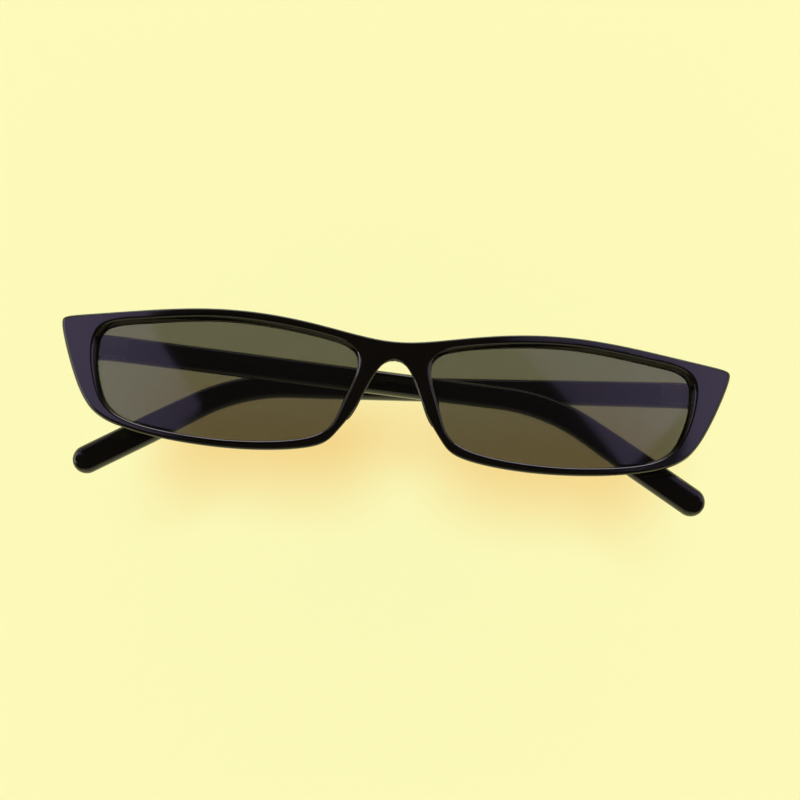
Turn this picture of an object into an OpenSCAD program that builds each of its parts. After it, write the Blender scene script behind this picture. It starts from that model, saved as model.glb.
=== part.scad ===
// Slim cat-eye sunglasses in moulded plastic, lying on their back with both temples folded.
// X runs across the front, Y up towards the brow, Z out of the front, and the lenses face up.
// Left and right are the wearer's, so the left side is at +X.

/* [Front] */
// Width of the front from tip to tip
front_w = 142; // [136:1:146]
// Depth of the rims from front to back
rim_depth = 3.9; // [3.5:0.1:4.3]
// Radius of the wrap that the front and both lenses follow
wrap_r = 230; // [215:5:280]
// Width of the flat middle of the bridge
wrap_flat = 12; // [8:1:13]
// Rounding of the outline's front edge
front_round = 0.7; // [0.5:0.05:0.8]
// Angle that the front edge is rounded over before it meets the side wall
edge_angle = 65; // [55:5:85]
// How far the side wall leans in towards the back
wall_lean = 0.5; // [0.3:0.05:0.55]
// Length before the end blocks over which that lean runs out
lean_run = 8; // [6:1:12]
// Rounding of the outline's back edge
back_round = 0.5; // [0.3:0.05:0.5]
// Width of the bevel round the front of each lens opening
lens_bevel = 0.45; // [0.3:0.05:0.5]
// How far the wall of a lens opening slopes back from the bevel to the lens
wall_draft = 0.3; // [0.1:0.05:0.4]
// Width of the bevel round the back of each lens opening
back_lip = 0.25; // [0.15:0.05:0.3]

/* [Lenses] */
// Thickness of a lens
lens_t = 1.6; // [1.4:0.1:1.8]
// How far a lens sits behind the front face
lens_set = 2.05; // [1.7:0.05:2.2]
// Thickness of the tongue round a lens
tongue_t = 0.7; // [0.5:0.1:0.8]
// Reach of the tongue past the lens opening
tongue_reach = 0.4; // [0.3:0.05:0.45]
// Depth of the groove that takes the tongue
groove_depth = 0.65; // [0.55:0.05:0.7]
// Gap between a lens and the wall of its opening
lens_gap = 0.15; // [0.1:0.01:0.2]
// Gap on each face of the tongue in its groove
groove_gap = 0.05; // [0.04:0.01:0.08]

/* [Nose pads] */
// Radius of the moulded pads' rounded edges
pad_r = 1.0; // [0.9:0.05:1.1]
// How far the pads stand behind the front face
pad_reach = 8; // [6:0.5:9]

/* [End blocks] */
// How far the tips reach past the temples
tip_reach = 1.8; // [1.5:0.1:2.4]
// How far the blocks stand behind the rims at their outer side
block_reach = 0.3; // [0.2:0.05:0.6]
// How much higher a block is than the temple on it
block_step = 0.7; // [0.5:0.1:0.9]
// Radius of a block's upright edges
block_r = 1; // [0.8:0.1:1.2]
// How far a block's inner side leans out towards the rim
block_draft = 1.4; // [1.2:0.1:1.6]
// How much higher a block is where it meets the rim
block_flare = 0.5; // [0:0.1:0.8]
// Gap between an open temple and its block
butt_gap = 0.15; // [0.1:0.01:0.2]

/* [Temples] */
// Length of the straight part behind the hinge
straight_len = 88; // [80:1:95]
// Radius of the bend over the ear
ear_r = 41; // [30:1:50]
// Angle of the bend over the ear
ear_angle = 28; // [22:0.5:32]
// Length of the tail behind the bend
tail_len = 29; // [26:1:32]
// Downward slope of the straight part
temple_drop = 3; // [1:0.1:4]
// Height of a temple at the hinge
temple_h = 5.6; // [5.2:0.1:6]
// Height of a temple in front of the ear
temple_waist = 4.9; // [4.6:0.1:5.6]
// Height of a temple's tail
tail_h = 6.1; // [5.6:0.1:6.6]
// Thickness of a temple
temple_t = 3.2; // [3.1:0.1:3.5]
// Rounding of a temple's long edges
temple_round = 1.4; // [0.8:0.1:1.5]
// Length behind the hinge before a temple starts to drop
level_len = 4; // [3:0.5:6]
// Length behind the bend over which the tail comes to its full height
tail_grow = 10; // [6:1:14]
// Rest angle of the right temple, folded first
right_fold = 91.5; // [91:0.5:92]
// Rest angle of the left temple, folded over the right one
left_fold = 87.5; // [86:0.5:87.5]

/* [Hinges] */
// Radius of a hinge knuckle
knuckle_r = 1.3; // [1.25:0.05:1.35]
// Height of the knuckle on the temple
mid_knuckle = 1.5; // [1.3:0.1:1.7]
// Height of each knuckle on the front
end_knuckle = 1.25; // [1.1:0.05:1.4]
// Gap between knuckles along the pin
knuckle_gap = 0.1; // [0.05:0.01:0.12]
// Radius of the screw's shank
screw_r = 0.7; // [0.65:0.01:0.72]
// Gap round the shank in the temple's knuckle
turn_gap = 0.05; // [0.03:0.01:0.08]
// Gap round the shank in the front's knuckles
seat_gap = 0.02; // [0.01:0.01:0.03]
// Thickness of a hinge plate
plate_t = 0.8; // [0.7:0.05:0.85]
// Length of the plate on the temple
plate_len = 7; // [6:0.5:9]
// How far the plate on the front runs inwards of the hinge axis
plate_in = 0.6; // [0.5:0.05:0.7]
// Plastic left outside the plate on the front
plate_edge = 0.4; // [0.35:0.05:0.6]
// Gap between a plate and the seat cut for it
seat = 0.03; // [0.02:0.01:0.04]
// Gap between a knuckle and the plate on the temple
leaf_stand = 0.2; // [0.15:0.05:0.3]
// Gap between a knuckle and the end block
barrel_gap = 0.1; // [0.08:0.01:0.15]
// Radius of the screw's head
head_r = 1.2; // [1.1:0.05:1.25]
// Height of the screw's head
head_h = 0.7; // [0.6:0.05:0.8]
// Width of the slot in the screw's head
slot_w = 0.35; // [0.3:0.05:0.4]
// Depth of the slot in the screw's head
slot_depth = 0.4; // [0.3:0.05:0.45]

/* [Hidden] */

black = [0.03, 0.025, 0.03];
smoke = [0.16, 0.17, 0.2, 0.8];
steel = [0.62, 0.6, 0.58];

// Half of the front's outline, from the middle of the bridge round the tip to the nose arch.
// The points steer a B-spline, in thousandths of the front's width.
share = front_w / 1000;
rim_guide = share * [[0, 7.6], [47.8, 12.6], [115.4, 26.7], [187.2, 37.9], [269, 42.1], [352.2, 36.5],
    [438.1, 27.4], [495.8, 23.2], [502.8, 16.9], [488, -28.9], [468, -78.7], [440.5, -126.1],
    [378.8, -149.3], [301.7, -163.5], [197.1, -169.9], [94.5, -157.7], [77.7, -134], [48.9, -95.6],
    [25.7, -28.9], [0, -13.3]];
// One lens opening, clockwise from its upper corner at the nose
lens_guide = share * [[63.2, -0.9], [91.8, 7.6], [164.1, 20.2], [268.3, 29.4], [378, 16.8], [436.3, 13.9],
    [445.2, -23.5], [432, -86.3], [404.2, -131], [304.2, -149.1], [210.6, -155.5], [88.1, -143.2],
    [76.2, -93], [47.4, -26.4]];
rim_steps = 4;
lens_steps = 6;
last = len(rim_guide) - 1;

// Hinge axis and the flat back of the end block
hinge_y = -8.5 * share;
temple_out = front_w / 2 - tip_reach;
temple_in = temple_out - temple_t;
hinge_x = temple_in - knuckle_r - leaf_stand;
block_back = wrap_z(temple_out, rim_depth) - block_reach;
hinge_z = block_back - knuckle_r - barrel_gap;
stack_h = mid_knuckle + 2 * end_knuckle + 2 * knuckle_gap;
plate_h = stack_h;
plate_w = temple_out - hinge_x + plate_in - plate_edge;
block_h = temple_h + block_step;
block_in = hinge_x - knuckle_r;
block_root = wrap_z(temple_out, lens_set);
// How far a piece runs into the one that it is joined to, and a cut past the face that it opens
bite = 0.1;
past = 1;

// Balls [x, y, depth, radius] round the free edge of a nose pad, from its upper root to its lower one
pad_root = rim_depth - 0.9;
pad_middle = [50.7 * share, -69 * share];
pad_half = [-10.6 * share, 29.6 * share];
pad_lean = [12 * share, 1.4 * share];
pad_guide = [for (a = [0 : 30 : 180]) let (c = sign(cos(a)) * pow(abs(cos(a)), 0.8), s = pow(sin(a), 0.8),
    p = pad_middle + c * pad_half + s * pad_lean)
    [p.x, p.y, pad_root + s * (pad_reach - pad_r - pad_root), pad_r * (0.75 + 0.25 * s)]];

// Smooth curves
function blend(a, b, c, d, t) = (pow(1 - t, 3) * a + (3 * pow(t, 3) - 6 * t * t + 4) * b
    + (3 * t + 3 * t * t - 3 * pow(t, 3) + 1) * c + pow(t, 3) * d) / 6;
function flip(p) = [-p.x, p.y];
function open_curve(g, steps) = let (n = len(g), q = concat([flip(g[1])], g, [flip(g[n - 2])]))
    concat([for (i = [0 : n - 2], k = [0 : steps - 1]) blend(q[i], q[i + 1], q[i + 2], q[i + 3], k / steps)],
        [blend(q[n - 2], q[n - 1], q[n], q[n + 1], 1)]);
function closed_curve(g, steps) = let (n = len(g))
    [for (i = [0 : n - 1], k = [0 : steps - 1])
        blend(g[i], g[(i + 1) % n], g[(i + 2) % n], g[(i + 3) % n], k / steps)];
function near_on(p, a, b) = let (ab = b - a) a + min(1, max(0, (p - a) * ab / (ab * ab))) * ab;
function foot(p, loop) = let (n = len(loop),
    feet = [for (i = [0 : n - 1]) near_on(p, loop[i], loop[(i + 1) % n])],
    gaps = [for (q = feet) norm(q - p)], least = min(gaps))
    [for (i = [0 : n - 1]) if (gaps[i] == least) feet[i]][0];
function outward(loop, i, d) = let (n = len(loop), t = loop[(i + 1) % n] - loop[(i + n - 1) % n])
    loop[i] + d * [-t.y, t.x] / norm(t);
function widened(loop, d) = [for (i = [0 : len(loop) - 1]) outward(loop, i, d)];

rim = open_curve(rim_guide, rim_steps);
lens_loop = closed_curve(lens_guide, lens_steps);
rim_top = rim[0].y;
rim_arch = rim[len(rim) - 1].y;

// Height of the wrapped face, sunk by d, and what a rounded edge takes off near the outline
function wrap_z(x, d) = let (a = max(abs(x) - wrap_flat / 2, 0)) sqrt(pow(wrap_r - d, 2) - a * a) - wrap_r;
function edge_gap(p) = min([for (i = [0 : len(rim) - 2]) norm(near_on(p, rim[i], rim[i + 1]) - p)]);
function rounded(r, d) = d >= r ? 0 : r - sqrt(r * r - pow(r - max(d, 0), 2));
function sunk(p, d) = [p.x, p.y, wrap_z(p.x, d)];
front_cut = front_round * (1 - sin(edge_angle));
function front_at(p) = sunk(p, rounded(front_round, edge_gap(p) + front_cut));
// The side wall leans in less towards the end blocks, and not at all in the middle of the bridge
function lean_at(x) = wall_lean * min(1, 2 * abs(x) / wrap_flat, max(0, (block_in - abs(x)) / lean_run));
// How much further out than the lens, along u, the opening's front edge lies on the wrap
function draft_at(f, u) = wall_draft - u.x * lens_set * max(0, abs(f.x) - wrap_flat / 2) / wrap_r;
function back_at(p) = sunk(p, rim_depth - rounded(back_round, edge_gap(p) - lean_at(p.x)));

// Stations run along the outline and back up the middle of the bridge
groove_mid = lens_set + lens_t / 2;
groove_half = tongue_t / 2 + groove_gap;
mid_stations = [for (t = [0.35, 0.9]) [0, rim_arch + t * front_round],
    for (t = [0.9, 0.35]) [0, rim_top - t * front_round]];
stations = concat(rim, mid_stations);
function on_middle(i) = i >= len(rim) - 1 || i == 0;
function section(o, f) = let (w = norm(f - o), u = (f - o) / w, r = front_round - front_cut,
    e = w - draft_at(f, u), m = (e - lens_bevel + r) / 2, n = lean_at(o.x), b = back_round)
    concat([for (d = [0, 0.13 * r, 0.42 * r, r, m, e - lens_bevel]) front_at(o + d * u)],
        [sunk(o + e * u, 0.7 * lens_bevel), sunk(f, lens_set - bite), sunk(f, groove_mid - groove_half),
        sunk(f - groove_depth * u, groove_mid - groove_half),
        sunk(f - groove_depth * u, groove_mid + groove_half), sunk(f, groove_mid + groove_half),
        sunk(f, rim_depth - back_lip)],
        [for (d = [w - back_lip, (w - back_lip + n + b) / 2, n + b, n + 0.3 * b, n]) back_at(o + d * u)]);
half_front = [for (o = stations) section(o, foot(o, lens_loop))];
rows = len(half_front[0]);
half_points = [for (s = half_front) each s];
front_points = concat(half_points, [for (p = half_points) [-p.x, p.y, p.z]]);

function shared(i, k) = on_middle(i) && (k == 0 || k == rows - 1);
function spot(i, k, side) = i * rows + k + (side == 1 || shared(i, k) ? 0 : len(half_points));
function facing(f, side) = side == 1 ? f : [f[2], f[1], f[0]];
front_faces = [for (side = [1, -1], i = [0 : len(stations) - 1], k = [0 : rows - 1])
    let (j = (i + 1) % len(stations), m = (k + 1) % rows)
    if (!(k == rows - 1 && on_middle(i) && on_middle(j)))
        for (f = [[spot(i, k, side), spot(j, k, side), spot(j, m, side)],
            [spot(i, k, side), spot(j, m, side), spot(i, m, side)]]) facing(f, side)];

// Temple: stations [distance behind the hinge, height, slope] along the middle line, open
bend_start = straight_len;
bend_len = ear_r * ear_angle * PI / 180;
bend_marks = 12;
ring_quarter = 5;
tail_end = bend_start + bend_len + tail_len;
tip_r = tail_h / 2;
butt = block_back - butt_gap - hinge_z;
function slope_at(s) = s < level_len ? 0 : temple_drop
    + ear_angle * min(1, max(0, (s - bend_start) / bend_len));
function height_at(s) = s < bend_start ? temple_h + (temple_waist - temple_h) * max(0, s) / bend_start
    : temple_waist + (tail_h - temple_waist) * min(1, (s - bend_start) / (bend_len + tail_grow));
temple_marks = concat([-butt, level_len, bend_start / 2],
    [for (k = [0 : bend_marks]) bend_start + bend_len * k / bend_marks],
    [bend_start + bend_len + tail_grow, tail_end - tip_r],
    [for (a = [15 : 12 : 87]) tail_end - tip_r + tip_r * sin(a)]);
function middle_line(i) = i == 0 ? [butt, hinge_y]
    : let (p = middle_line(i - 1), d = temple_marks[i] - temple_marks[i - 1],
        a = (slope_at(temple_marks[i]) + slope_at(temple_marks[i - 1])) / 2) p + d * [-cos(a), -sin(a)];
function tip_share(s) = s <= tail_end - tip_r ? 1 : sqrt(1 - pow((s - tail_end + tip_r) / tip_r, 2));
function tip_thin(s) = s <= tail_end - tip_r ? 1 : pow(tip_share(s), 0.6);
function temple_section(i) = let (s = temple_marks[i], p = middle_line(i), a = slope_at(s),
    h = height_at(s) * tip_share(s) / 2, t = temple_t * tip_thin(s) / 2,
    r = min(temple_round, h * 0.95, t * 0.95))
    [for (q = [0 : 3], k = [0 : ring_quarter - 1]) let (g = 90 * (q + k / (ring_quarter - 1)),
        v = (q < 2 ? h - r : r - h) + r * sin(g), e = (q == 0 || q == 3 ? t - r : r - t) + r * cos(g))
        [temple_out - temple_t / 2 + e, p.y + v * cos(a), hinge_z + p.x - v * sin(a)]];
temple_rings = [for (i = [0 : len(temple_marks) - 1]) temple_section(i)];
ring_n = len(temple_rings[0]);
temple_faces = concat([[for (k = [ring_n - 1 : -1 : 0]) k]],
    [for (i = [0 : len(temple_marks) - 2], k = [0 : ring_n - 1])
        let (m = (k + 1) % ring_n, a = i * ring_n, b = (i + 1) * ring_n)
        for (f = [[a + k, b + m, b + k], [a + k, a + m, b + m]]) f],
    [[for (k = [0 : ring_n - 1]) (len(temple_marks) - 1) * ring_n + k]]);

// The lowest point of the left temple as it lies folded, and the middle of the outline and the temples' tips
function folded_z(p, angle) = hinge_z - (p.x - hinge_x) * sin(angle) + (p.z - hinge_z) * cos(angle);
floor_z = min([for (r = temple_rings, p = r) folded_z(p, left_fold)]);
mid_y = (max([for (p = rim) p.y]) + min([for (r = temple_rings, p = r) p.y])) / 2;

// Puts the folded sunglasses on the surface with their outline centred
module seated() {
    translate([0, -mid_y, -floor_z]) children();
}

// The right side is the left one mirrored
module on_side(side) {
    mirror([side < 0 ? 1 : 0, 0, 0]) children();
}

// Turns an open temple's parts about the hinge axis
module folded(angle) {
    translate([hinge_x, 0, hinge_z]) rotate([0, angle, 0]) translate([-hinge_x, 0, -hinge_z]) children();
}

// A cylinder along the hinge axis, from one height to another
module along_pin(r, y0, y1) {
    translate([hinge_x, y0, hinge_z]) rotate([-90, 0, 0]) cylinder(r = r, h = y1 - y0, $fn = 48);
}

// The space between two faces that follow the wrap
module wrapped_slab(d0, d1) {
    translate([wrap_flat / 2, 0, -wrap_r]) rotate([90, 0, 0]) difference() {
        cylinder(r = wrap_r - d0, h = front_w, center = true, $fn = 360);
        cylinder(r = wrap_r - d1, h = front_w + past, center = true, $fn = 360);
    }
}

// The column that a loop drawn from the front encloses, deep enough for the wrap
module column(loop) {
    translate([0, 0, -front_w / 4]) linear_extrude(front_w / 4) polygon(loop);
}

module lens(side) {
    color(smoke) seated() on_side(side) {
        intersection() {
            wrapped_slab(lens_set, lens_set + lens_t);
            column(widened(lens_loop, -lens_gap));
        }
        intersection() {
            wrapped_slab(groove_mid - tongue_t / 2, groove_mid + tongue_t / 2);
            column(widened(lens_loop, tongue_reach));
        }
    }
}

module front_frame() {
    color(black) seated() {
        difference() {
            union() {
                polyhedron(front_points, front_faces);
                for (side = [1, -1]) on_side(side) {
                    end_block();
                    nose_pad();
                }
            }
            for (side = [1, -1]) on_side(side) plate_seat();
        }
    }
}

// The block behind the tip that carries the hinge and stops the open temple
module end_block() {
    hull() {
        block_slice(block_back, block_in, block_h);
        block_slice(block_root, block_in + block_draft, block_h + block_flare);
    }
}

// One slice of the end block, with its inner side at x0
module block_slice(z, x0, h) {
    for (x = [x0 + block_r, temple_out - block_r], y = [block_r - h / 2, h / 2 - block_r])
        translate([x, hinge_y + y, z]) cylinder(r = block_r, h = 0.01, $fn = 24);
}

// A moulded nose pad behind the inner rim
module nose_pad() {
    hull() for (p = pad_guide) translate([p.x, p.y, -p.z]) sphere(p[3], $fn = 18);
}

// The seat cut in the end block for the front's hinge plate
module plate_seat() {
    translate([hinge_x - plate_in - seat, hinge_y - plate_h / 2 - seat, block_back - past])
        cube([plate_w + 2 * seat, plate_h + 2 * seat, past + plate_t + seat]);
}

// Hinge half on the front: a plate sunk in the end block with a knuckle at each end
module hinge_front_leaf(side) {
    color(steel) seated() on_side(side) {
        translate([hinge_x - plate_in, hinge_y - plate_h / 2, block_back]) cube([plate_w, plate_h, plate_t]);
        for (y0 = [-stack_h / 2, stack_h / 2 - end_knuckle]) difference() {
            union() {
                along_pin(knuckle_r, hinge_y + y0, hinge_y + y0 + end_knuckle);
                translate([hinge_x - plate_in, hinge_y + y0, hinge_z])
                    cube([plate_in + knuckle_r, end_knuckle, block_back - hinge_z + bite]);
            }
            along_pin(screw_r + seat_gap, hinge_y + y0 - past, hinge_y + y0 + end_knuckle + past);
        }
    }
}

// Hinge half on the temple: a plate sunk in the temple with one knuckle in the middle
module hinge_temple_leaf(side, angle) {
    color(steel) seated() on_side(side) folded(angle) {
        translate([temple_in, hinge_y - plate_h / 2, hinge_z - plate_len])
            cube([plate_t, plate_h, plate_len + knuckle_r / 2]);
        difference() {
            union() {
                along_pin(knuckle_r, hinge_y - mid_knuckle / 2, hinge_y + mid_knuckle / 2);
                translate([hinge_x, hinge_y - mid_knuckle / 2, hinge_z - knuckle_r])
                    cube([temple_in + bite - hinge_x, mid_knuckle, 1.75 * knuckle_r]);
            }
            along_pin(screw_r + turn_gap, hinge_y - mid_knuckle, hinge_y + mid_knuckle);
        }
    }
}

// Slotted screw that is the hinge's pin
module hinge_screw(side) {
    top = hinge_y + stack_h / 2;
    color(steel) seated() on_side(side) difference() {
        union() {
            along_pin(screw_r, hinge_y - stack_h / 2 - bite, top + bite);
            along_pin(head_r, top, top + head_h);
        }
        translate([hinge_x - head_r - past, top + head_h - slot_depth, hinge_z - slot_w / 2])
            cube([2 * (head_r + past), slot_depth + past, slot_w]);
    }
}

module temple(side, angle) {
    color(black) seated() on_side(side) folded(angle) difference() {
        polyhedron([for (r = temple_rings) each r], temple_faces);
        translate([temple_in - past, hinge_y - plate_h / 2 - seat, hinge_z - plate_len - seat])
            cube([past + plate_t + seat, plate_h + 2 * seat, 2 * plate_len]);
    }
}

front_frame();
lens(1);  // lens_left
lens(-1);  // lens_right
hinge_front_leaf(1);  // hinge_front_leaf_left
hinge_front_leaf(-1);  // hinge_front_leaf_right
hinge_screw(1);  // hinge_screw_left
hinge_screw(-1);  // hinge_screw_right
temple(1, left_fold);  // temple_left
temple(-1, right_fold);  // temple_right
hinge_temple_leaf(1, left_fold);  // hinge_temple_leaf_left
hinge_temple_leaf(-1, right_fold);  // hinge_temple_leaf_right
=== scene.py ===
# %% [markdown]
# # Slim cat-eye sunglasses, folded
# A moulded front with two smoke lenses, two temples and two small metal hinges. The
# front faces up, as the glasses lie on their folded temples.

# %% Load the measured parts
import math

import bmesh
import bpy
import numpy as np
from mathutils import Matrix, Vector


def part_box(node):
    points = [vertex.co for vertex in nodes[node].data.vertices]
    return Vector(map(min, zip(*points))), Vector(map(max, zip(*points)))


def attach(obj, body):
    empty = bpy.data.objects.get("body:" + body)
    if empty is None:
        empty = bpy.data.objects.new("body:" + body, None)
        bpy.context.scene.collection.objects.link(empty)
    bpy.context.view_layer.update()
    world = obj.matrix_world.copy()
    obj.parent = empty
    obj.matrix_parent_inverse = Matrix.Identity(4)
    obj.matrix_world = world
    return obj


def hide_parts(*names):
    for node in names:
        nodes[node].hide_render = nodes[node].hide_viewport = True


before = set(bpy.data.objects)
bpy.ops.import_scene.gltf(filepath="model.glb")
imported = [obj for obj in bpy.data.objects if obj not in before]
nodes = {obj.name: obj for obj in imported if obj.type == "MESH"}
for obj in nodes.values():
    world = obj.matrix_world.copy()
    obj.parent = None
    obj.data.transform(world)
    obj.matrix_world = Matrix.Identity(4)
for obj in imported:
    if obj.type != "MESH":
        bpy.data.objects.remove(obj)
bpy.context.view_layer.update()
MM = 0.001
SAME, TOUCHING = 1e-7, 1e-6  # metres: closer than this, points are one, or lie on one plane
SIGNS = {"left": 1, "right": -1}  # the wearer's left is at +X
print("nodes:", ", ".join(sorted(nodes)))

# %% [markdown]
# ## Lines that the front is drawn over
# A frame is cut or moulded from a drawing of two lines, the outside of the rim and the lens
# opening. Both are smooth curves here, steered by a few points like the control points of
# a B-spline in any drawing program. Coordinates are in millimetres from the middle of the
# bridge, and only the left half is drawn, because the right half is its mirror image. The
# points come from a least-squares fit to edges traced in the photograph, and were then
# moved a little. They are the same as in the part's source.

# %% The two lines
GUIDE_UNIT = 0.142  # the guide points are in thousandths of the front's width, 142 mm
RIM_GUIDE = [(0, 7.6), (47.8, 12.6), (115.4, 26.7), (187.2, 37.9), (269, 42.1), (352.2, 36.5),
             (438.1, 27.4), (495.8, 23.2), (502.8, 16.9), (488, -28.9), (468, -78.7),
             (440.5, -126.1), (378.8, -149.3), (301.7, -163.5), (197.1, -169.9),
             (94.5, -157.7), (77.7, -134), (48.9, -95.6), (25.7, -28.9), (0, -13.3)]
LENS_GUIDE = [(63.2, -0.9), (91.8, 7.6), (164.1, 20.2), (268.3, 29.4), (378, 16.8),
              (436.3, 13.9), (445.2, -23.5), (432, -86.3), (404.2, -131), (304.2, -149.1),
              (210.6, -155.5), (88.1, -143.2), (76.2, -93), (47.4, -26.4)]


def spline(guide, steps, closed):
    """Points along the uniform cubic B-spline that guide steers."""
    g = np.array(guide, float) * GUIDE_UNIT
    n = len(g)
    if closed:
        quads = [[g[(i + j) % n] for j in range(4)] for i in range(n)]
    else:
        g = np.vstack([g[1] * (-1, 1), g, g[-2] * (-1, 1)])
        quads = [g[i:i + 4] for i in range(n - 1)]
    rows = []
    for a, b, c, d in quads:
        for t in np.arange(steps) / steps:
            rows.append(((1 - t) ** 3 * a + (3 * t ** 3 - 6 * t * t + 4) * b
                         + (3 * t + 3 * t * t - 3 * t ** 3 + 1) * c + t ** 3 * d) / 6)
    if not closed:
        a, b, c, d = quads[-1]
        rows.append((b + 4 * c + d) / 6)
    return np.array(rows)


rim = spline(RIM_GUIDE, 10, closed=False)
lens_loop = spline(LENS_GUIDE, 16, closed=True)
print("rim points", len(rim), "lens points", len(lens_loop))

# %% [markdown]
# ## The wrap
# The front bends round the face on a radius of 230 mm, with a flat 12 mm at the bridge.
# Depths are measured square to that bent face, so lens, groove and rim stay parallel. The
# photograph looks at the front nearly square, so the radius and the depths are guesses
# that suit such frames.

# %% Wrap and place
WRAP_R, WRAP_FLAT = 230.0, 12.0
RIM_DEPTH, FRONT_ROUND, BACK_ROUND = 3.9, 0.7, 0.5
EDGE_ANGLE = math.radians(65)  # the front edge is rounded this far, and then the wall begins
FRONT_CUT = FRONT_ROUND * (1 - math.sin(EDGE_ANGLE))
WALL_LEAN = 0.5  # how far in the outer wall has come at the back
LEAN_RUN, LEAN_END = 8.0, 63.2  # near the tips it leans less, and beyond LEAN_END not at all
front_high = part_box("front_frame")[1]
PLACE = np.array([0, front_high.y / MM - rim[:, 1].max(), front_high.z / MM])


def wrap_z(x, depth):
    """Height of the bent face over x, at a depth below it."""
    bent = np.maximum(np.abs(x) - WRAP_FLAT / 2, 0)
    return np.sqrt((WRAP_R - depth) ** 2 - bent ** 2) - WRAP_R


def sunk(xy, depth):
    """Points on the bent face, at a depth below it."""
    return np.column_stack([xy, wrap_z(xy[:, 0], depth)])


def nearest(points, loop, closed):
    """For each point the nearest point on a line of straight pieces."""
    a = loop if closed else loop[:-1]
    b = np.roll(loop, -1, axis=0) if closed else loop[1:]
    ab = b - a
    t = ((points[:, None] - a) * ab).sum(2) / (ab * ab).sum(1)
    feet = a + np.clip(t, 0, 1)[..., None] * ab
    best = ((feet - points[:, None]) ** 2).sum(2).argmin(1)
    return feet[np.arange(len(points)), best]


def edge_gap(xy, line):
    """How far points lie from a line."""
    return np.linalg.norm(nearest(xy, line, closed=False) - xy, axis=1)


def rounded(r, d):
    """What a rounded edge of radius r takes off, at d from the edge."""
    return np.where(d >= r, 0.0, r - np.sqrt(r * r - (r - np.clip(d, 0, r)) ** 2))


def inset_rim():
    """The outline at the back, where the wall has leaned in."""
    inward = np.column_stack([np.gradient(rim[:, 1]), -np.gradient(rim[:, 0])])
    inward[[0, -1], 0] = 0
    inward /= np.linalg.norm(inward, axis=1)[:, None]
    lean = WALL_LEAN * np.clip((LEAN_END - rim[:, 0]) / LEAN_RUN, 0, 1)
    return rim + lean[:, None] * inward


def to_frame(points):
    """Millimetres from the bridge to metres in the shared frame."""
    return (np.asarray(points) + PLACE) * MM


def in_mm(*points):
    """Points of the shared frame in rounded millimetres, for the prints."""
    return [[round(c / MM, 2) for c in p] for p in points]


# %% [markdown]
# ## Helpers
# Every piece starts as one of Blender's primitives and is shaped with its operators. An
# operator works on all that is selected, so each helper first clears the selection.

# %% Selection, modifiers and rings
def only(obj):
    bpy.ops.object.select_all(action="DESELECT")
    obj.select_set(True)
    bpy.context.view_layer.objects.active = obj


def named(name):
    """Names the object that an operator has just added."""
    obj = bpy.context.object
    obj.name = obj.data.name = name
    return obj


def finish_modifier(obj, kind, **settings):
    """Adds a modifier, sets it and applies it."""
    only(obj)
    modifier = obj.modifiers.new(kind.title(), kind)
    for key, value in settings.items():
        setattr(modifier, key, value)
    bpy.ops.object.modifier_apply(modifier=modifier.name)
    return obj


def combine(obj, other, operation):
    """Joins or cuts obj with another closed piece, which is then deleted."""
    finish_modifier(obj, "BOOLEAN", object=other, operation=operation, solver="EXACT")
    bpy.data.objects.remove(other)
    return obj


def clean(obj, angle=30):
    """Merges doubles, turns all faces outwards and smooths what isn't a sharp edge."""
    only(obj)
    bpy.ops.object.mode_set(mode="EDIT")
    bpy.ops.mesh.select_all(action="SELECT")
    bpy.ops.mesh.remove_doubles(threshold=SAME)
    bpy.ops.mesh.normals_make_consistent(inside=False)
    bpy.ops.object.mode_set(mode="OBJECT")
    bpy.ops.object.shade_smooth_by_angle(angle=math.radians(angle), keep_sharp_edges=False)
    return obj


def open_edges(obj):
    """How many edges of a piece lack a face on one side, which is none for a closed one."""
    mesh = bmesh.new()
    mesh.from_mesh(obj.data)
    count = sum(not edge.is_manifold for edge in mesh.edges)
    mesh.free()
    return count


def extrude_rings(name, rings):
    """A circle laid on the first ring, then its edge extruded from each ring to the next."""
    bpy.ops.object.select_all(action="DESELECT")
    bpy.ops.mesh.primitive_circle_add(vertices=len(rings[0]), radius=0.01)
    obj = named(name)
    bpy.ops.object.mode_set(mode="EDIT")
    mesh = bmesh.from_edit_mesh(obj.data)
    station = mesh.verts.layers.int.new("station")
    for i, v in enumerate(mesh.verts):
        v[station] = i
    for k, ring in enumerate(rings):
        if k:
            bpy.ops.mesh.extrude_edges_move()
        mesh = bmesh.from_edit_mesh(obj.data)
        station = mesh.verts.layers.int["station"]
        for v in mesh.verts:
            if v.select:
                v.co = ring[v[station]]
        bmesh.update_edit_mesh(obj.data)
    return obj


def close_ends(obj, top):
    """Fills the last ring, which is still selected, and the first, which lies at the top."""
    bpy.ops.mesh.edge_face_add()
    mesh = bmesh.from_edit_mesh(obj.data)
    for v in mesh.verts:
        v.select = bool(v.co.z > top - SAME)
    mesh.select_flush(True)
    bmesh.update_edit_mesh(obj.data)
    bpy.ops.mesh.edge_face_add()
    bpy.ops.object.mode_set(mode="OBJECT")


# %% [markdown]
# ## Front
# The front is one moulding. Its section is the same all round each lens: a rounded outer
# edge, a flat face, a small bevel, a wall that slopes down to the lens, a groove that holds
# the lens, and a softer edge at the back. So one ring of points runs round the lens for
# each point of that section, starting on the outline. A ring is extruded to the next one,
# as a modeller pulls an edge loop, and the last one closes on the first.

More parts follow.
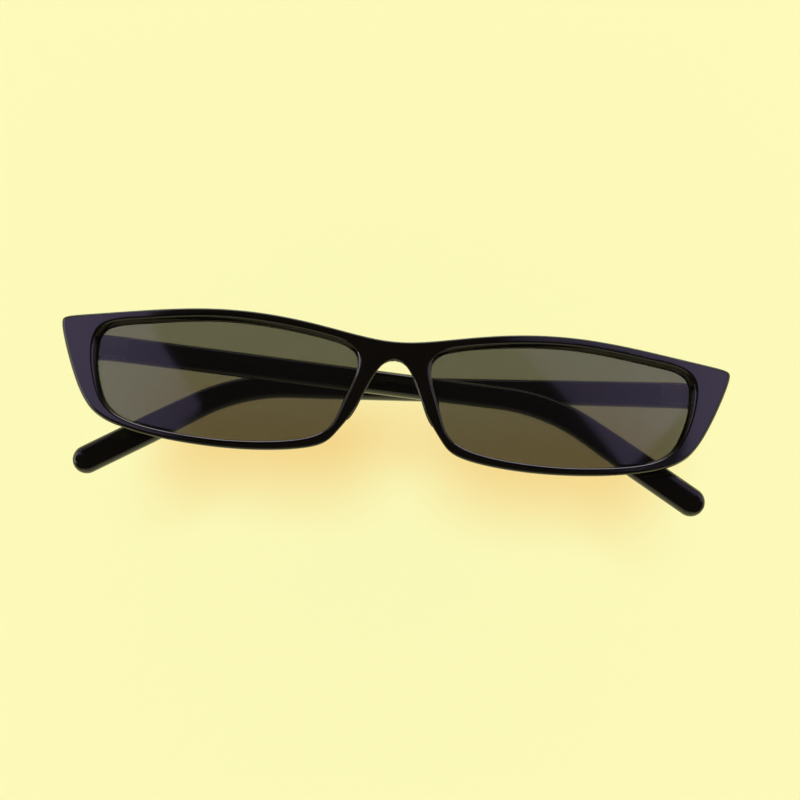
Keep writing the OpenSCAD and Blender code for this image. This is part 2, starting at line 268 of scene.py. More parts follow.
# %% Section of the rim
LENS_SET, LENS_T = 2.05, 1.6
BEVEL, BACK_LIP, WALL_DRAFT = 0.45, 0.25, 0.3
BEVEL_DROP = 0.7 * BEVEL
WALL_END = LENS_SET - 0.1  # the sloping wall ends a little in front of the lens
GROOVE_MID = LENS_SET + LENS_T / 2
GROOVE_HALF, GROOVE_DEEP = 0.4, 0.65
FACE_R, BEVEL_R, WALL_R, BACK_R = 0.28, 0.06, 0.04, 0.08  # roundings, from front to back
MIDDLE_STEPS = np.array([0.06, 0.2, 0.42, 0.7, 1.0])  # along a rounded edge, in radii
FACE_SHARES = (0.04, 0.25, 0.5, 0.75, 0.96)  # across the flat face, from the outline
BACK_SHARES = (0.95, 0.6, 0.3, 0.05)  # across the back, from the lens


def corner(before, at, after, r, n=3):
    """A corner of the section, rounded by r with n points."""
    before, at, after = (np.array(p, float) for p in (before, at, after))
    a = at + r * (before - at) / np.linalg.norm(before - at)
    b = at + r * (after - at) / np.linalg.norm(after - at)
    return [(1 - t) ** 2 * a + 2 * t * (1 - t) * at + t * t * b for t in np.linspace(0, 1, n)]


def lens_side(w, e):
    """Points (distance from the outline, depth) of the bevel, wall, groove and back lip.

    The wall stands w from the outline at the lens, and e from it at the bevel."""
    a, b, c = (e - BEVEL, 0), (e, BEVEL_DROP), (w, WALL_END)
    g, h = (w, RIM_DEPTH - BACK_LIP), (w - BACK_LIP, RIM_DEPTH)
    high, low = GROOVE_MID - GROOVE_HALF, GROOVE_MID + GROOVE_HALF
    groove = [(w, high), (w - GROOVE_DEEP, high), (w - GROOVE_DEEP, low), (w, low)]
    return (corner((0, 0), a, b, FACE_R, 5) + corner(a, b, c, BEVEL_R) + corner(b, c, g, WALL_R)
            + [np.array(p) for p in groove]
            + corner(c, g, h, BACK_R) + corner(g, h, (0, RIM_DEPTH), BACK_R))


def with_middle(line, r):
    """An outline, and points up the middle of the bridge that close it."""
    low, high = line[-1, 1], line[0, 1]
    steps_in = r * MIDDLE_STEPS
    across = np.linspace(low + r, high - r, 5)[1:-1]
    middle = np.concatenate([low + steps_in, across, (high - steps_in)[::-1]])
    return np.vstack([line, np.column_stack([0 * middle, middle])])


def toward(stations, feet):
    """Width from each station to its foot on the lens opening, and the direction."""
    wide = np.linalg.norm(feet - stations, axis=1)
    return wide, (feet - stations) / wide[:, None]


back_rim = inset_rim()
stations, back_stations = with_middle(rim, FRONT_ROUND), with_middle(back_rim, BACK_ROUND)
feet = nearest(stations, lens_loop, closed=True)
wide, inward = toward(stations, feet)
back_wide, back_inward = toward(back_stations, feet)
wrapped = np.maximum(feet[:, 0] - WRAP_FLAT / 2, 0) / WRAP_R
mouth = wide - WALL_DRAFT + inward[:, 0] * LENS_SET * wrapped
flat = FRONT_ROUND - FRONT_CUT

front_rings = []


def add_ring(d, depth=None, back=False):
    """One ring, d from the outline, at a depth or as deep as the rounded edge has it."""
    start, way = (back_stations, back_inward) if back else (stations, inward)
    xy = start + np.multiply(d, way.T).T
    if back:
        depth = RIM_DEPTH - rounded(BACK_ROUND, edge_gap(xy, back_rim))
    elif depth is None:
        depth = rounded(FRONT_ROUND, edge_gap(xy, rim) + FRONT_CUT)
    front_rings.append(to_frame(sunk(xy, depth)))


for t in EDGE_ANGLE * np.linspace(0, 1, 7):
    add_ring(FRONT_ROUND * (math.sin(EDGE_ANGLE) - math.sin(EDGE_ANGLE - t)))
for share in FACE_SHARES:
    add_ring(flat + share * (mouth - BEVEL - flat))
for d, depth in np.array([lens_side(w, e) for w, e in zip(wide, mouth)]).transpose(1, 2, 0):
    add_ring(d, depth)
for share in BACK_SHARES:
    add_ring(BACK_ROUND + share * (back_wide - BACK_LIP - BACK_ROUND), back=True)
for t in np.radians(np.arange(0, 91, 15))[::-1]:
    add_ring(BACK_ROUND * (1 - math.cos(t)), back=True)
front = extrude_rings("front", front_rings + [front_rings[0]])
bpy.ops.object.mode_set(mode="OBJECT")
clean(front)
print("front:", len(front_rings), "rings of", len(stations))

# %% Close the section and mirror the half
only(front)
bpy.ops.object.mode_set(mode="EDIT")
bpy.ops.mesh.select_all(action="DESELECT")
mesh = bmesh.from_edit_mesh(front.data)
for face in mesh.faces:
    face.select = all(abs(v.co.x) < TOUCHING for v in face.verts)
bmesh.update_edit_mesh(front.data)
bpy.ops.mesh.delete(type="FACE")
bpy.ops.object.mode_set(mode="OBJECT")
finish_modifier(front, "MIRROR", merge_threshold=TOUCHING)
clean(front)
print("front has", len(front.data.polygons), "faces")

# %% [markdown]
# ## Nose pads and end blocks
# Plastic frames of this kind have their nose pads moulded on, as soft fins behind the inner
# rims. Behind each tip a small block carries the hinge. Each is made on its own, then joined
# to the front with a Boolean, so that the front stays one closed moulding. The photograph
# shows neither, so both are guessed from such frames.

# %% Nose pads
PAD_MIDDLE = GUIDE_UNIT * np.array([50.7, -69])
PAD_HALF = GUIDE_UNIT * np.array([-10.6, 29.6])  # from the middle to the upper end
PAD_LEAN = GUIDE_UNIT * np.array([12, 1.4])  # how far the crest stands from the root
PAD_R, PAD_REACH, PAD_ROOT = 1.0, 8.0, RIM_DEPTH - 0.9
PAD_RISE, PAD_SIDE = 2.6, 1 / 1.9  # powers that give the fin its arched side view
CREST_HALF, PAD_THIN, LEAN_POWER, OVAL_POWER = 1.15, 0.82, 0.9, 0.9
FOOT, FOOT_RUN, FOOT_THIN = 0.55, 1.2, 0.6  # the hollow foot's width, its depth, its share aside
PAD_DEPTHS = (*np.linspace(PAD_ROOT, RIM_DEPTH, 4),
              *np.linspace(RIM_DEPTH + 0.3, PAD_REACH - PAD_R, 9),
              *(PAD_REACH - PAD_R * np.array([0.7, 0.45, 0.25, 0.1, 0.025])))


def oval(c):
    """A cosine or sine, for an oval that is a little fuller than an ellipse."""
    return np.sign(c) * abs(c) ** OVAL_POWER


def nose_pad(sign):
    """Oval rings from inside the rim to the crest, with a hollow foot against the rim."""
    length = np.linalg.norm(PAD_HALF)
    along = PAD_HALF / length
    across = np.array([along[1], -along[0]])
    around = np.radians(np.arange(0, 360, 7.5))
    rings = []
    for depth in PAD_DEPTHS:
        rise = min(1, (depth - PAD_ROOT) / (PAD_REACH - PAD_R - PAD_ROOT))
        crest = math.sqrt(1 - max(0, (depth - PAD_REACH + PAD_R) / PAD_R) ** 2)
        foot = FOOT * max(0, 1 - max(0, depth - RIM_DEPTH) / FOOT_RUN) ** 2
        a = length * (1 - rise ** PAD_RISE) ** PAD_SIDE + CREST_HALF * crest + foot
        b = PAD_R * (PAD_THIN + (1 - PAD_THIN) * rise) * crest + foot * FOOT_THIN
        centre = PAD_MIDDLE + PAD_LEAN * rise ** LEAN_POWER
        xy = np.array([centre + along * a * oval(math.cos(g)) + across * b * oval(math.sin(g))
                       for g in around])
        rings.append(to_frame(np.column_stack([xy * (sign, 1), np.full(len(xy), -depth)])))
    pad = extrude_rings("pad", rings)
    close_ends(pad, rings[0][0][2])
    return clean(pad, 60)


# %% End blocks
TEMPLE_T, TEMPLE_H, TEMPLE_OUT = 3.2, 5.6, 69.2  # the last is its outer face, from the middle
KNUCKLE_R = 1.3
BLOCK_BACK = wrap_z(TEMPLE_OUT, RIM_DEPTH) - 0.3
BLOCK_ROOT = wrap_z(TEMPLE_OUT, LENS_SET)
BLOCK_HALF, ROOT_TALLER = (TEMPLE_H + 0.7) / 2, 0.25
INNER_LEAN, LOW_IN = 1.4, 0.6  # of the inner side, and of the outer one at its lower end
SIDE_ROUND, BUTT_ROUND = 1.0, 0.3
HINGE_X = TEMPLE_OUT - TEMPLE_T - KNUCKLE_R - 0.2
HINGE_Y = -8.5 * GUIDE_UNIT
HINGE_Z = BLOCK_BACK - KNUCKLE_R - 0.1
screw_low, screw_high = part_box("hinge_screw_left")
print("hinge axis", in_mm(to_frame([HINGE_X, HINGE_Y, HINGE_Z])),
      "middle of the screw", in_mm((screw_low + screw_high) / 2))


def bevel_where(obj, wanted, width, segments):
    """In Edit Mode, bevels each edge for the heights of whose ends wanted() is true."""
    mesh = bmesh.from_edit_mesh(obj.data)
    for edge in mesh.edges:
        edge.select = bool(wanted(*(v.co.z for v in edge.verts)))
    bmesh.update_edit_mesh(obj.data)
    bpy.ops.mesh.bevel(offset=width * MM, segments=segments)


def end_block(sign):
    """A cube with its inner side leaning out and its outer side along the rim's."""
    bpy.ops.object.select_all(action="DESELECT")
    bpy.ops.mesh.primitive_cube_add(size=2)
    block = named("block")
    for v in block.data.vertices:
        outer, upper, root = (c > 0 for c in v.co)
        inner_x, outer_x = HINGE_X - KNUCKLE_R, TEMPLE_OUT
        x = outer_x - LOW_IN * (not upper) if outer else inner_x + INNER_LEAN * root
        y = HINGE_Y + (BLOCK_HALF + ROOT_TALLER * root) * (1 if upper else -1)
        v.co = to_frame([sign * x, y, BLOCK_ROOT if root else BLOCK_BACK])
    only(block)
    bpy.ops.object.mode_set(mode="EDIT")
    butt = to_frame([0, 0, BLOCK_BACK])[2] + TOUCHING
    bevel_where(block, lambda a, b: abs(a - b) > MM, SIDE_ROUND, 8)
    bevel_where(block, lambda a, b: max(a, b) < butt, BUTT_ROUND, 3)
    bpy.ops.object.mode_set(mode="OBJECT")
    return clean(block)


for sign in SIGNS.values():
    combine(front, nose_pad(sign), "UNION")
    combine(front, end_block(sign), "UNION")

# %% Seats for the hinge plates
SEAT = 0.03  # the gap round a plate
CUT_OUT = 1.0  # how far a cutter stands out of the piece that it cuts
PLATE_T, PLATE_IN, PLATE_LEN, STACK_H = 0.8, 0.6, 7.0, 4.2
PLATE_W = TEMPLE_OUT - HINGE_X + PLATE_IN - 0.4


def cut_seat(obj, sign, across, deep):
    """Cuts a plate's seat with a stretched cube, between two x and two z in millimetres."""
    half = STACK_H / 2 + SEAT
    corners = np.array([[sign * across[0], HINGE_Y - half, deep[0]],
                        [sign * across[1], HINGE_Y + half, deep[1]]])
    low, high = corners.min(axis=0), corners.max(axis=0)
    bpy.ops.object.select_all(action="DESELECT")
    bpy.ops.mesh.primitive_cube_add(size=1, location=to_frame((low + high) / 2),
                                    scale=(high - low) * MM)
    bpy.ops.object.transform_apply(location=True, scale=True)
    return combine(obj, named("seat"), "DIFFERENCE")


for sign in SIGNS.values():
    inner_x = HINGE_X - PLATE_IN - SEAT
    cut_seat(front, sign, (inner_x, inner_x + PLATE_W + 2 * SEAT),
             (BLOCK_BACK - CUT_OUT, BLOCK_BACK + PLATE_T + SEAT))
clean(front, 50)
print("front joined:", len(front.data.polygons), "faces, open edges", open_edges(front))

# %% [markdown]
# ## Lenses
# Each lens is cut to the opening with a thin tongue round it that snaps into the groove. An
# edge loop is pulled from the front edge over the tongue to the back edge, and each face is
# then filled with a grid, whose points are laid back on the wrap.

# %% Lens
LENS_GAP, LENS_EASE, LENS_SPAN = 0.06, 0.06, 40
TONGUE_REACH, TONGUE_T = 0.4, 0.7


def outward(loop):
    """Unit vectors square to a clockwise loop, pointing out."""
    along = np.roll(loop, -1, axis=0) - np.roll(loop, 1, axis=0)
    along /= np.linalg.norm(along, axis=1)[:, None]
    return np.column_stack([-along[:, 1], along[:, 0]])


def make_lens(sign, name):
    """Rings over the edge, given as a distance out and one from the tongue's middle plane."""
    out, half, eased = outward(lens_loop), LENS_T / 2, 0.3 * LENS_EASE
    edge = [(-LENS_GAP - LENS_EASE, half), (-LENS_GAP - eased, half - eased),
            (-LENS_GAP, half - LENS_EASE), (-LENS_GAP, TONGUE_T / 2), (TONGUE_REACH, TONGUE_T / 2)]
    steps = [(d, GROOVE_MID - h) for d, h in edge] + [(d, GROOVE_MID + h) for d, h in edge[::-1]]
    rings = [to_frame(sunk(lens_loop + d * out, depth) * (sign, 1, 1)) for d, depth in steps]
    lens = extrude_rings(name, rings)
    for depth, k in ((LENS_SET, 0), (LENS_SET + LENS_T, len(rings) - 1)):
        bpy.ops.mesh.select_all(action="DESELECT")
        mesh = bmesh.from_edit_mesh(lens.data)
        mesh.verts.index_update()
        for v in mesh.verts:
            v.select = k * len(lens_loop) <= v.index < (k + 1) * len(lens_loop)
        mesh.select_flush(True)
        before = len(mesh.verts)
        bmesh.update_edit_mesh(lens.data)
        bpy.ops.mesh.fill_grid(span=LENS_SPAN)
        mesh = bmesh.from_edit_mesh(lens.data)
        mesh.verts.ensure_lookup_table()
        for v in mesh.verts[before:]:
            v.co.z = (wrap_z(v.co.x / MM, depth) + PLACE[2]) * MM
        bmesh.update_edit_mesh(lens.data)
    bpy.ops.object.mode_set(mode="OBJECT")
    return clean(lens)


lenses = {side: make_lens(sign, "tinted_lens_" + side) for side, sign in SIGNS.items()}
print("lens faces", len(lenses["left"].data.polygons), "open edges", open_edges(lenses["left"]))

# %% [markdown]
# ## Temples
# A temple is one slim bar with rounded long edges. It is straight for 88 mm, bends down over
# the ear and ends in a rounded tail. A ring with the section's shape is pulled along that
# line from the hinge to the tip. It is drawn open and then folded about the hinge axis.

# %% Line and section of a temple
STRAIGHT, EAR_R, TAIL = 88.0, 41.0, 29.0
LEVEL, DROP, EAR_ANGLE = 4.0, 3.0, 28.0  # level at first, then the slopes in degrees
WAIST, TAIL_H, TAIL_GROW = 4.9, 6.1, 10.0  # heights, and how far past the bend it grows
LONG_EDGE, MOST_ROUND, CORNER_POINTS = 1.4, 0.95, 7
BEND = EAR_R * math.radians(EAR_ANGLE)
END = STRAIGHT + BEND + TAIL
TIP_R, TIP_THIN = TAIL_H / 2, 0.6
BUTT = BLOCK_BACK - 0.15 - HINGE_Z  # the front end stands this far before the hinge axis
BUTT_EASE = 0.3
FOLD = {"left": 87.5, "right": 91.5}  # degrees, as the glasses lie

# Where the rings stand, in millimetres behind the hinge axis.
marks = [share * BUTT_EASE - BUTT for share in (0, 0.13, 0.43, 1)]
marks += [LEVEL - 0.5, LEVEL + 0.5, *np.linspace(10, STRAIGHT, 14)]
marks += [*(STRAIGHT + BEND * np.arange(1, 25) / 24)]
marks += [*np.linspace(END - TAIL * 0.8, END - TIP_R, 5)]
marks += [END - TIP_R + TIP_R * math.sin(math.radians(a)) for a in range(8, 88, 8)]


def slope(s):
    """Downward slope in radians, s mm behind the hinge."""
    if s < LEVEL:
        return 0
    return math.radians(DROP + EAR_ANGLE * min(1, max(0, (s - STRAIGHT) / BEND)))


def height(s):
    """Height of the bar, s mm behind the hinge."""
    if s < STRAIGHT:
        return TEMPLE_H + (WAIST - TEMPLE_H) * max(0, s) / STRAIGHT
    return WAIST + (TAIL_H - WAIST) * min(1, (s - STRAIGHT) / (BEND + TAIL_GROW))


def section(h, t, r):
    """Points (across, up) of a bar's section, with half sizes h and t and rounded edges."""
    points = []
    for q, (across, up) in enumerate(((1, 1), (-1, 1), (-1, -1), (1, -1))):
        for g in np.radians(90 * q + np.linspace(0, 90, CORNER_POINTS)):
            points.append((across * (t - r) + r * math.cos(g), up * (h - r) + r * math.sin(g)))
    return points


def rounded_over(r, u):
    """Rise of a quarter circle of radius r, at u from where it starts."""
    return math.sqrt(r * r - max(0, r - u) ** 2)


def temple_rings():
    """The rings of an open left temple, from its front end to the tip."""
    rings, y, z, before = [], HINGE_Y, BUTT, marks[0]
    for s in marks:
        a = (slope(s) + slope(before)) / 2
        y, z = y - (s - before) * math.sin(a), z - (s - before) * math.cos(a)
        share = math.sqrt(1 - max(0, (s - END + TIP_R) / TIP_R) ** 2)
        ease = BUTT_EASE - rounded_over(BUTT_EASE, s + BUTT)
        h, t = height(s) * share / 2 - ease, TEMPLE_T * share ** TIP_THIN / 2 - ease
        points = section(h, t, min(LONG_EDGE, h * MOST_ROUND, t * MOST_ROUND))
        a = slope(s)
        rings.append(np.array([(TEMPLE_OUT - TEMPLE_T / 2 + across, y + up * math.cos(a),
                                HINGE_Z + z - up * math.sin(a)) for across, up in points]))
        before = s
    return rings


def folding(sign, degrees):
    """The matrix that folds an open temple about the hinge axis."""
    axis = Vector(to_frame([sign * HINGE_X, HINGE_Y, HINGE_Z]))
    turn = Matrix.Rotation(math.radians(sign * degrees), 4, "Y")
    return Matrix.Translation(axis) @ turn @ Matrix.Translation(-axis)


def make_temple(sign, degrees, name):
    """A closed bar with a seat for its hinge plate, folded by so many degrees."""
    rings = [to_frame(ring * (sign, 1, 1)) for ring in temple_rings()]
    temple = extrude_rings(name, rings)
    close_ends(temple, rings[0][0][2])
    clean(temple)
    inner_x = TEMPLE_OUT - TEMPLE_T
    cut_seat(temple, sign, (inner_x - CUT_OUT, inner_x + PLATE_T + SEAT),
             (HINGE_Z - PLATE_LEN - SEAT, HINGE_Z + PLATE_LEN))
    temple.data.transform(folding(sign, degrees))
    return clean(temple)


temples = {side: make_temple(sign, FOLD[side], "temple_bar_" + side)
           for side, sign in SIGNS.items()}
for side, temple in temples.items():
    print("temple", side, "open edges", open_edges(temple),
          "box", in_mm(temple.bound_box[0], temple.bound_box[6]),
          "solid", in_mm(*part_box("temple_" + side)))

# %% [markdown]
# ## Hinges
# Leaves and knuckles are milled or stamped and the screws turned, and all are then tumbled
# with stones, which breaks every edge. The measured solids are copied, their doubles merged
# and their flat sides made whole, and a Bevel modifier rounds what is sharp. The photograph
# doesn't show the hinges, so they are guessed too.

# %% Tumbled hinge parts
TUMBLED, FLAT_WITHIN, SHARP_FROM = 0.09, math.radians(1), math.radians(40)


def tumbled(name):
    """A copy of a hinge part's solid with broken edges."""
    piece = bpy.data.objects.new(name.replace("hinge", "metal"), nodes[name].data.copy())
    bpy.context.collection.objects.link(piece)
    only(piece)
    bpy.ops.object.mode_set(mode="EDIT")
    bpy.ops.mesh.select_all(action="SELECT")
    bpy.ops.mesh.remove_doubles(threshold=SAME)
    bpy.ops.mesh.dissolve_limited(angle_limit=FLAT_WITHIN)
    bpy.ops.object.mode_set(mode="OBJECT")
    finish_modifier(piece, "BEVEL", width=TUMBLED * MM, segments=3,
                    limit_method="ANGLE", angle_limit=SHARP_FROM)
    return clean(piece)


metal = {name: tumbled(name) for name in nodes if name.startswith("hinge")}
for name, piece in metal.items():
    print(name, len(piece.data.polygons), "faces, open edges", open_edges(piece))

# %% [markdown]
# ## Materials
# One helper adds a node with its settings and links, and one turns a hex colour to linear.

# %% Node helper
MIX_LOW, MIX_HIGH, MIX_OUT = 6, 7, 2  # a Mix node's sockets for colours


def linear(code):
    """An sRGB hex colour as the linear colour that Blender's sockets take."""
    values = [int(code[i:i + 2], 16) / 255 for i in (1, 3, 5)]
    return [v / 12.92 if v <= 0.04045 else ((v + 0.055) / 1.055) ** 2.4 for v in values] + [1]


def node(tree, kind, inputs=None, **settings):
    """Adds a node. Inputs, by name or number, are sockets, nodes or plain values. Settings
    that name an input, with an underscore for a space, fill it, others are the node's own."""
    made = tree.nodes.new(kind)
    for key, value in settings.items():
        if hasattr(made, key) and key not in made.inputs:
            setattr(made, key, value)
        else:
            made.inputs[key.replace("_", " ")].default_value = value
    for key, source in (inputs or {}).items():
        if isinstance(source, bpy.types.Node):
            source = source.outputs[0]
        if isinstance(source, bpy.types.NodeSocket):
            tree.links.new(source, made.inputs[key])
        else:
            made.inputs[key].default_value = source
    return made


def material(name):
    """A material without nodes, and its tree."""
    made = bpy.data.materials.new(name)
    made.use_nodes = True
    made.node_tree.nodes.clear()
    return made, made.node_tree


# %% [markdown]
# ### Gloss black plastic
# Injection-moulded polycarbonate, polished in the mould: nearly black, with a clear gloss
# and a very slight waviness of the face, as any moulding that has cooled. IOR 1.58. Handling
# leaves a thin haze, and the gloss shows each speck of dust.

# %% Dust
DUSTY_CELLS = 0.88  # specks lie in the cells whose random value is above this, one in eight


def dusty(tree, where, per_metre, radius, bare, speck, rough, duller):
    """Colour and roughness of a bare face with specks, radius of a cell wide, on it."""
    cells = node(tree, "ShaderNodeTexVoronoi", {"Vector": where}, Scale=per_metre)
    near = node(tree, "ShaderNodeMath", {0: cells.outputs["Distance"], 1: radius},
                operation="LESS_THAN")
    pick = node(tree, "ShaderNodeSeparateXYZ", {0: cells.outputs["Color"]})
    few = node(tree, "ShaderNodeMath", {0: pick, 1: DUSTY_CELLS}, operation="GREATER_THAN")
    specks = node(tree, "ShaderNodeMath", {0: near, 1: few}, operation="MULTIPLY")
    colour = node(tree, "ShaderNodeMix",
                  {0: specks, MIX_LOW: linear(bare), MIX_HIGH: linear(speck)}, data_type="RGBA")
    dull = node(tree, "ShaderNodeMath", {0: specks, 1: duller, 2: rough}, operation="MULTIPLY_ADD")
    return colour.outputs[MIX_OUT], dull


# %% Moulded black polycarbonate
def gloss_black():
    made, tree = material("moulded_black_polycarbonate")
    where = node(tree, "ShaderNodeTexCoord").outputs["Object"]
    haze = node(tree, "ShaderNodeTexNoise", {"Vector": where}, Scale=90.0, Detail=4.0)
    hazy = node(tree, "ShaderNodeMapRange", {"Value": haze}, To_Min=0.05, To_Max=0.13)
    colour, rough = dusty(tree, where, 300.0, 0.04, "#0b0907", "#a09a92", hazy, 0.5)
    wave = node(tree, "ShaderNodeTexNoise", {"Vector": where}, Scale=110.0, Detail=1.0)
    bump = node(tree, "ShaderNodeBump", {"Height": wave}, Strength=0.04, Distance=0.0002)
    plastic = node(tree, "ShaderNodeBsdfPrincipled",
                   {"Base Color": colour, "Roughness": rough, "Normal": bump}, IOR=1.58)
    node(tree, "ShaderNodeOutputMaterial", {"Surface": plastic})
    return made


# %% [markdown]
# ### Smoke lens
# Tinted polycarbonate sheet, cut and polished: it lets through a third of the light at each
# face. The bare sheet's IOR is 1.58. It is set to 1.63, because the lens's reflections then
# come out about as strong as in the photograph. Why the real ones are that strong isn't
# known, and a hard coat is only one guess. Cloth leaves faint smears on it.

# %% Smoke polycarbonate lens
def smoke_lens():
    made, tree = material("smoke_tinted_polycarbonate")
    where = node(tree, "ShaderNodeTexCoord").outputs["Object"]
    smear = node(tree, "ShaderNodeTexNoise", {"Vector": where}, Scale=45.0, Detail=3.0)
    smeared = node(tree, "ShaderNodeMapRange", {"Value": smear}, To_Min=0.02, To_Max=0.06)
    colour, rough = dusty(tree, where, 260.0, 0.03, "#0d0c0c", "#8c867e", smeared, 0.4)
    sheet = node(tree, "ShaderNodeBsdfPrincipled", {"Base Color": colour, "Roughness": rough},
                 IOR=1.63, Alpha=0.66)
    node(tree, "ShaderNodeOutputMaterial", {"Surface": sheet})
    return made


# %% [markdown]
# ### Hinge metal
# Nickel-plated steel or nickel silver, tumbled and plated: a warm grey metal with fine
# drawn lines along the plates and a satin sheen that differs a little from place to place.
# It is the usual finish and a guess, because the photograph doesn't show the hinges.

# %% Nickel-plated steel
def hinge_steel():
    made, tree = material("nickel_plated_steel")
    where = node(tree, "ShaderNodeTexCoord").outputs["Object"]
    drawn = node(tree, "ShaderNodeMapping", {"Vector": where}, Scale=(9000, 60000, 9000))
    lines = node(tree, "ShaderNodeTexNoise", {"Vector": drawn}, Scale=1.0, Detail=2.0)
    bump = node(tree, "ShaderNodeBump", {"Height": lines}, Strength=0.12, Distance=0.00002)
    worn = node(tree, "ShaderNodeTexNoise", {"Vector": where}, Scale=700.0, Detail=3.0)
    rough = node(tree, "ShaderNodeMapRange", {"Value": worn}, To_Min=0.2, To_Max=0.42)
    colour = node(tree, "ShaderNodeMix", data_type="RGBA",
                  inputs={0: worn, MIX_LOW: linear("#b9b2a6"), MIX_HIGH: linear("#d6d2ca")})
    steel = node(tree, "ShaderNodeBsdfPrincipled",
                 {"Base Color": colour.outputs[MIX_OUT], "Roughness": rough, "Normal": bump},
                 Metallic=1.0)
    node(tree, "ShaderNodeOutputMaterial", {"Surface": steel})
    return made


# %% [markdown]
# ## Dressing the pieces
# Each piece gets its finish and the body that it moves with, and the measured solid that it
# stands for is hidden.

# %% Dress the pieces
def dress(obj, finish, slot, body, *replaced):
    """Gives a piece its material and body, and hides the solid that it stands for. The slot
    is not used.
    """
    obj.data.materials.clear()
    obj.data.materials.append(finish)
    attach(obj, body)
    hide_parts(*replaced)


black, smoke, steel = gloss_black(), smoke_lens(), hinge_steel()
dress(front, black, "frame_plastic", "front", "front_frame")
for side in SIGNS:
    dress(lenses[side], smoke, "lens_tint", "front", "lens_" + side)
    dress(temples[side], black, "frame_plastic", side + "_temple", "temple_" + side)
for name, piece in metal.items():
    side = name.rsplit("_", 1)[1]
    dress(piece, steel, "hinge_metal", side + "_temple" if "temple" in name else "front", name)
print("dressed:", 1 + len(lenses) + len(temples) + len(metal), "pieces")

# %% [markdown]
# ## Camera
# The photograph looks down on the lenses from 12 degrees below square, turned 4.75 degrees,
# through a long lens. These angles, the distance and the focal length were fitted until the
# outline fell on the photograph's. The camera is given as its own three axes.

# %% Camera
PITCH, ROLL = math.radians(12), math.radians(4.75)
PICTURE_PX, FOCAL_PX, SENSOR = 800, 2300, 36
BRIDGE_PX = 396.1, 347.5  # where the middle of the bridge shows in the photograph
FAR = 0.477  # metres to it, along the view
toward_camera = Vector((0, -math.sin(PITCH), math.cos(PITCH)))
level, upward = Vector((1, 0, 0)), Vector((0, math.cos(PITCH), math.sin(PITCH)))
right = math.cos(ROLL) * level + math.sin(ROLL) * upward
up = math.cos(ROLL) * upward - math.sin(ROLL) * level
aside, below = ((px - PICTURE_PX / 2) / FOCAL_PX for px in BRIDGE_PX)
ray = aside * right - below * up - toward_camera
bpy.ops.object.camera_add()
camera = bpy.context.object
camera.matrix_world = Matrix((right, up, toward_camera)).transposed().to_4x4()
camera.location = Vector(to_frame([0, 0, 0])) - ray * FAR
camera.data.sensor_width = SENSOR
camera.data.lens = FOCAL_PX * SENSOR / PICTURE_PX
camera.data.clip_start, camera.data.clip_end = 0.01, 50
bpy.context.scene.camera = camera
bpy.context.scene.view_settings.view_transform = "Standard"
print("camera at", in_mm(camera.location), "with a lens of", camera.data.lens)

# %% [markdown]
# ## Floor, surroundings and lamps
# A pale yellow paper lies low enough for the open temples. A very broad warm lamp lights it,
# and a small cool one throws the shadow, which stays warm because only the first reaches it.
# Gloss black shows little but what it mirrors. So two violet softboxes stand above to the
# left and right, strips stand low behind and to both sides, and a dim one in front. The
# dark between them keeps the middle of the front and the right edge black.
# All of these are fitted: places, colours and strengths were changed until the reflections
# and the shadow came close to the photograph's. Some corners of the softboxes were worked
# out from points in the photograph by following its reflections back, and the others were
# chosen. They aren't known to be the lights that it was taken with.

# %% Floor
FLOOR_Z = -0.122
bpy.ops.object.select_all(action="DESELECT")
bpy.ops.mesh.primitive_plane_add(size=60, location=(0, 0, FLOOR_Z))
floor = named("floor")
made, tree = material("pale_yellow_paper")
paper = node(tree, "ShaderNodeBsdfPrincipled", Base_Color=linear("#fdf4b6"),
             Roughness=0.95, Specular_IOR_Level=0.05)
node(tree, "ShaderNodeOutputMaterial", {"Surface": paper})
floor.data.materials.append(made)

# %% World
SKY = ((0.14, "#fdf9b9"), (0.42, "#2a2019"))  # the paper's colour low down, dark higher up
world = bpy.data.worlds.new("studio")
bpy.context.scene.world = world
world.use_nodes = True
tree = world.node_tree
tree.nodes.clear()
ray_way = node(tree, "ShaderNodeTexCoord").outputs["Generated"]
split = node(tree, "ShaderNodeSeparateXYZ", {0: ray_way})
ramp = node(tree, "ShaderNodeValToRGB", {"Fac": split.outputs["Z"]})
for element, (position, code) in zip(ramp.color_ramp.elements, SKY):
    element.position, element.color = position, linear(code)
background = node(tree, "ShaderNodeBackground", {"Color": ramp}, Strength=1.0)
node(tree, "ShaderNodeOutputWorld", {"Surface": background})

# %% Softboxes and strips
VIOLET, COOL_WHITE, WARM_WHITE = "#dbc8ff", "#efe6ff", "#e8dfb8"
DIM_FROM, DIM_TO = 0.15, 0.65  # metres from the middle, between which a softbox brightens


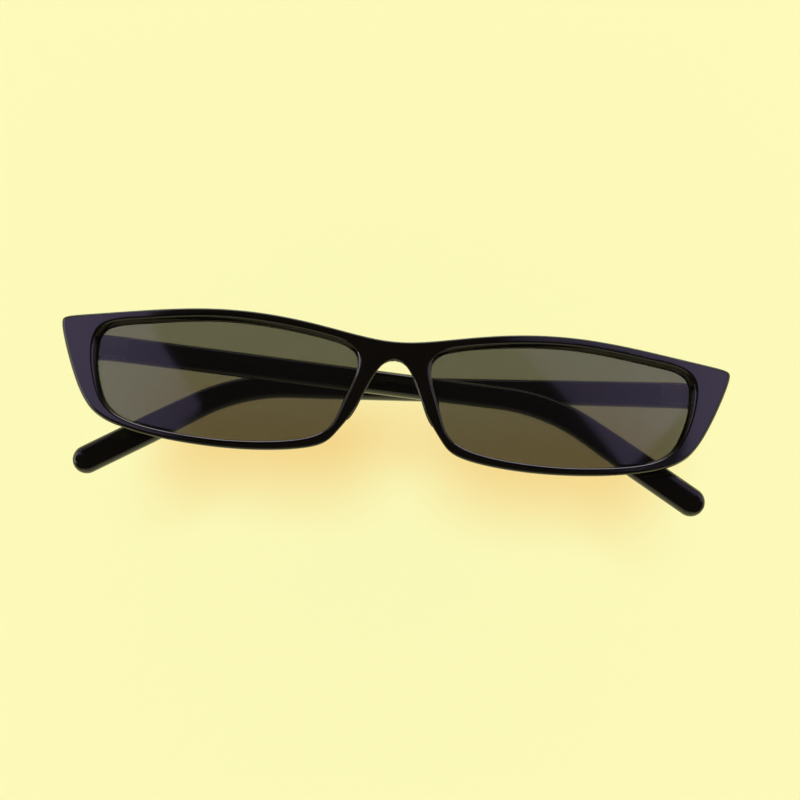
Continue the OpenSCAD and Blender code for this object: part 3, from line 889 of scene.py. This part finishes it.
def card(name, corners, colour, near, far):
    """A glowing sheet with these corners, in metres. It dims from far to near the middle."""
    bpy.ops.object.select_all(action="DESELECT")
    bpy.ops.mesh.primitive_circle_add(vertices=len(corners), fill_type="NGON")
    sheet = named(name)
    for v, place in zip(sheet.data.vertices, corners):
        v.co = place
    made, tree = material(name + "_glow")
    where = node(tree, "ShaderNodeTexCoord").outputs["Object"]
    split = node(tree, "ShaderNodeSeparateXYZ", {0: where})
    aside = node(tree, "ShaderNodeMath", {0: split.outputs["X"]}, operation="ABSOLUTE")
    strength = node(tree, "ShaderNodeMapRange", {"Value": aside},
                    From_Min=DIM_FROM, From_Max=DIM_TO, To_Min=near, To_Max=far)
    glow = node(tree, "ShaderNodeEmission", {"Strength": strength}, Color=linear(colour))
    node(tree, "ShaderNodeOutputMaterial", {"Surface": glow})
    sheet.data.materials.append(made)
    for ray_kind in ("camera", "diffuse", "transmission", "shadow"):
        setattr(sheet, "visible_" + ray_kind, False)


def strip(name, low, high, colour, strength):
    """An upright card between its lowest and highest corner."""
    corners = [low, (*high[:2], low[2]), high, (*low[:2], high[2])]
    card(name, corners, colour, strength, strength)


BOX_Z = 700
RIGHT_BOX = [(155, 181), (429, 130), (569, 182), (556, 110), (500, 50), (440, 20),
             (1000, 20), (1000, 750), (190, 750)]
LEFT_BOX = [(320, 138), (560, 80), (900, 80), (900, 750), (520, 750), (451, 191)]
card("softbox_right", [to_frame((x, y, BOX_Z)) for x, y in RIGHT_BOX], VIOLET, 0.42, 1.2)
card("softbox_left", [to_frame((-x, y, BOX_Z)) for x, y in LEFT_BOX], VIOLET, 0.38, 1.2)
strip("strip_back", (-0.9, 1.4, 0.14), (0.9, 1.4, 0.32), COOL_WHITE, 6)
strip("strip_front", (-0.9, -1.4, 0.62), (0.9, -1.4, 1.1), WARM_WHITE, 0.9)
strip("strip_right", (1.4, -0.35, 0.38), (1.4, 0.75, 0.6), COOL_WHITE, 1.5)
strip("strip_left", (-1.4, -0.35, 0.38), (-1.4, 0.75, 0.85), COOL_WHITE, 3.5)

# %% Lamps
def lamp(name, angle, colour, energy, tilt, lean):
    """A round lamp far away. Gloss doesn't show it, because the softboxes stand for it there."""
    bpy.ops.object.light_add(type="SUN", location=(0, 0, 1),
                             rotation=(math.radians(tilt), math.radians(lean), 0))
    made = named(name)
    made.data.energy, made.data.angle = energy, math.radians(angle)
    made.data.color = linear(colour)[:3]
    made.visible_glossy = False


lamp("fill", 150, "#ffe5cb", 2.7, 0, 0)
lamp("key", 10, "#60cfff", 1.54, 6.3, -2)
